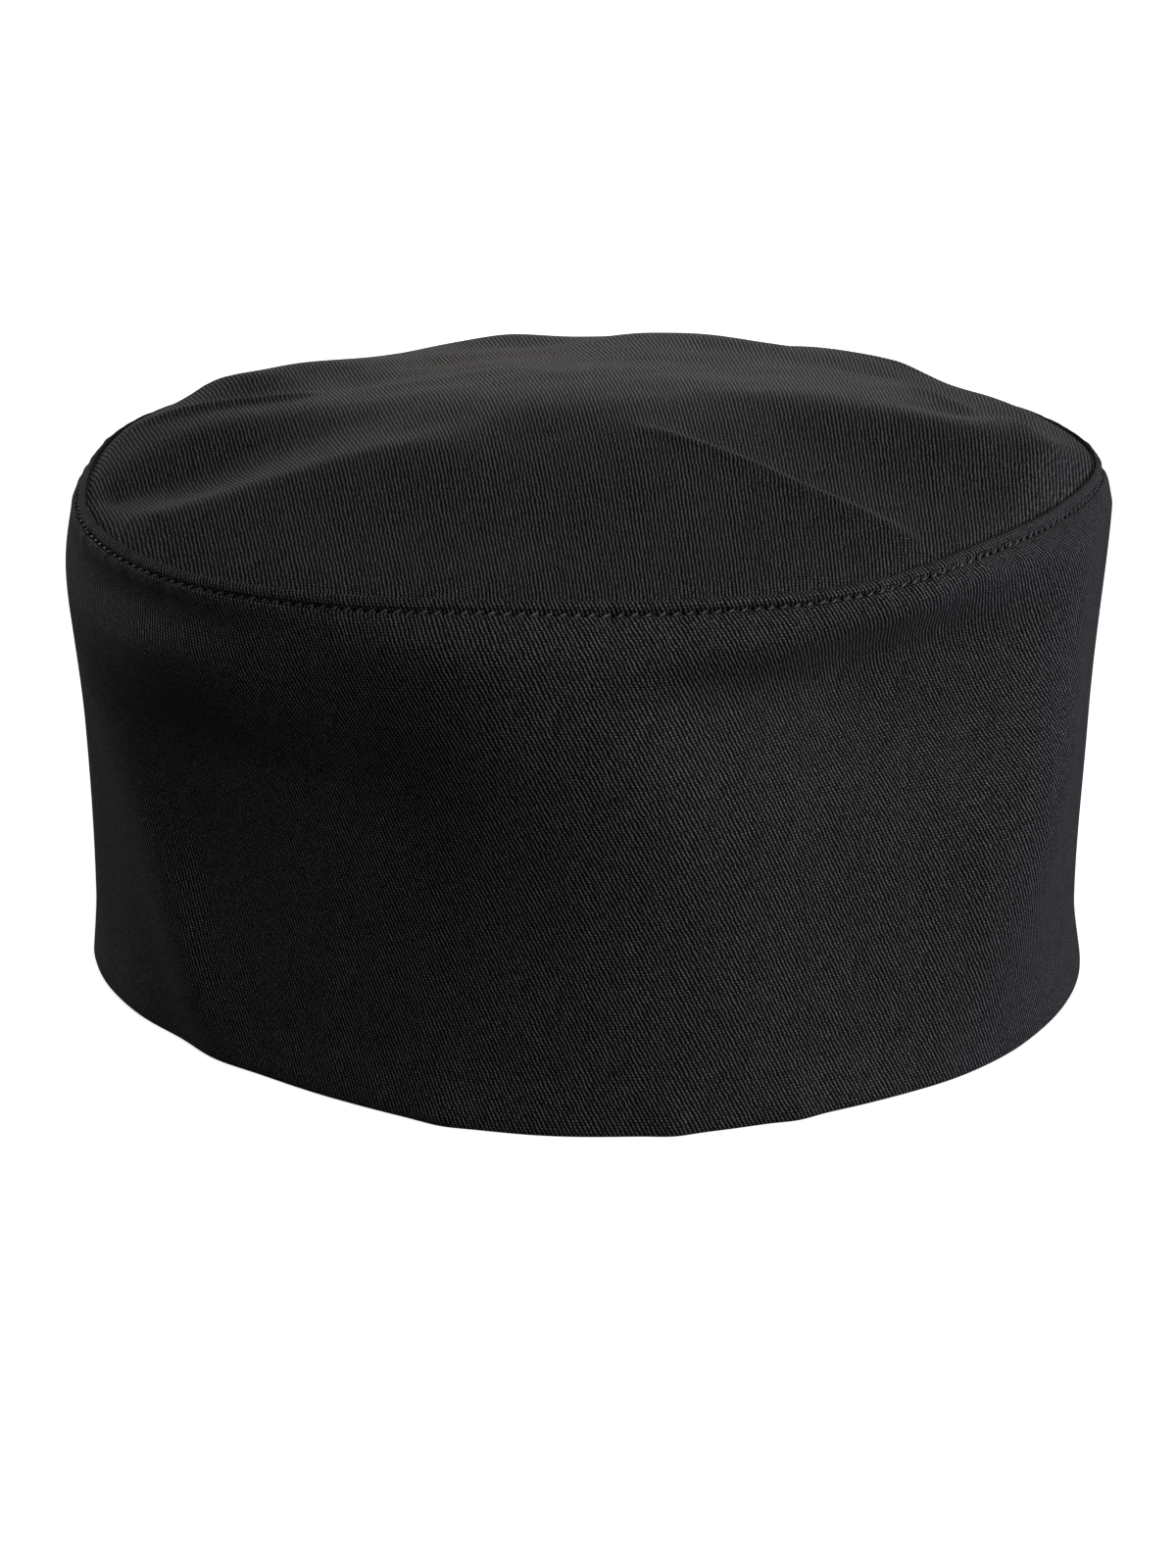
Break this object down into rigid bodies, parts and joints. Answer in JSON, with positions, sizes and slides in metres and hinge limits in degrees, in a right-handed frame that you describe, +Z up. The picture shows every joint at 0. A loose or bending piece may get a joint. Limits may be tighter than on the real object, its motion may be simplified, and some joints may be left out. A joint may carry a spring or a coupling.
{
  "type": "chef hat",
  "caption": "Black twill chef's skull cap: an upright doubled side band and a slightly domed round top, joined by a sunk, topstitched seam. Open below for the head.",
  "frame": {"origin": "centre of the cap's outline seen from above, at the height of the surface that the rim rests on", "axes": "+Z up through the crown, -Y to the front, +Y to the back, +X to the wearer's left"},
  "size_m": [0.1939, 0.1966, 0.1123],
  "materials": {
    "band_twill": "black poly-cotton twill, matt with a faint sheen, ribs slanting down to the right",
    "panel_twill": "black poly-cotton twill, matt with a faint sheen, ribs running front to back"
  },
  "bodies": {
    "root": {"side_band": "band_twill", "top_panel": "panel_twill"}
  },
  "joints": []
}
